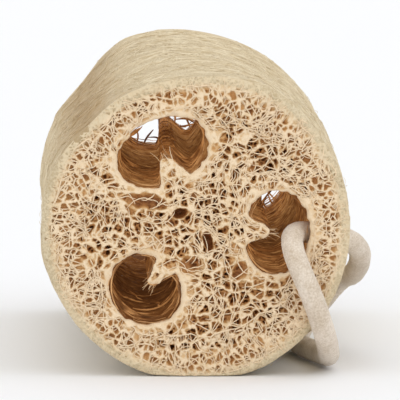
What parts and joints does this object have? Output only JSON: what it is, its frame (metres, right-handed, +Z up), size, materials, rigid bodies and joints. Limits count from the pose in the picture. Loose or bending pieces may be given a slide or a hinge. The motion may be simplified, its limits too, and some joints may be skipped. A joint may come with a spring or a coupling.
{
  "type": "natural loofah sponge",
  "caption": "Cut length of natural loofah with a raised net skin, open seed channels running end to end and a cotton hanging loop, lying on its side.",
  "frame": {"origin": "middle of the flattened underside, halfway along the sponge, on the surface that it lies on", "axes": "+Y along the sponge from the end with the loop to the other end, +Z up, +X to the side with the loop"},
  "size_m": [0.0764, 0.1592, 0.0711],
  "materials": {
    "loofah_fibre": "dry matt plant fibre net, pale straw to tan",
    "cotton_cord": "soft undyed cotton, round braid"
  },
  "bodies": {
    "root": {"loofah": "loofah_fibre", "hanging_cord": "cotton_cord"}
  },
  "joints": []
}
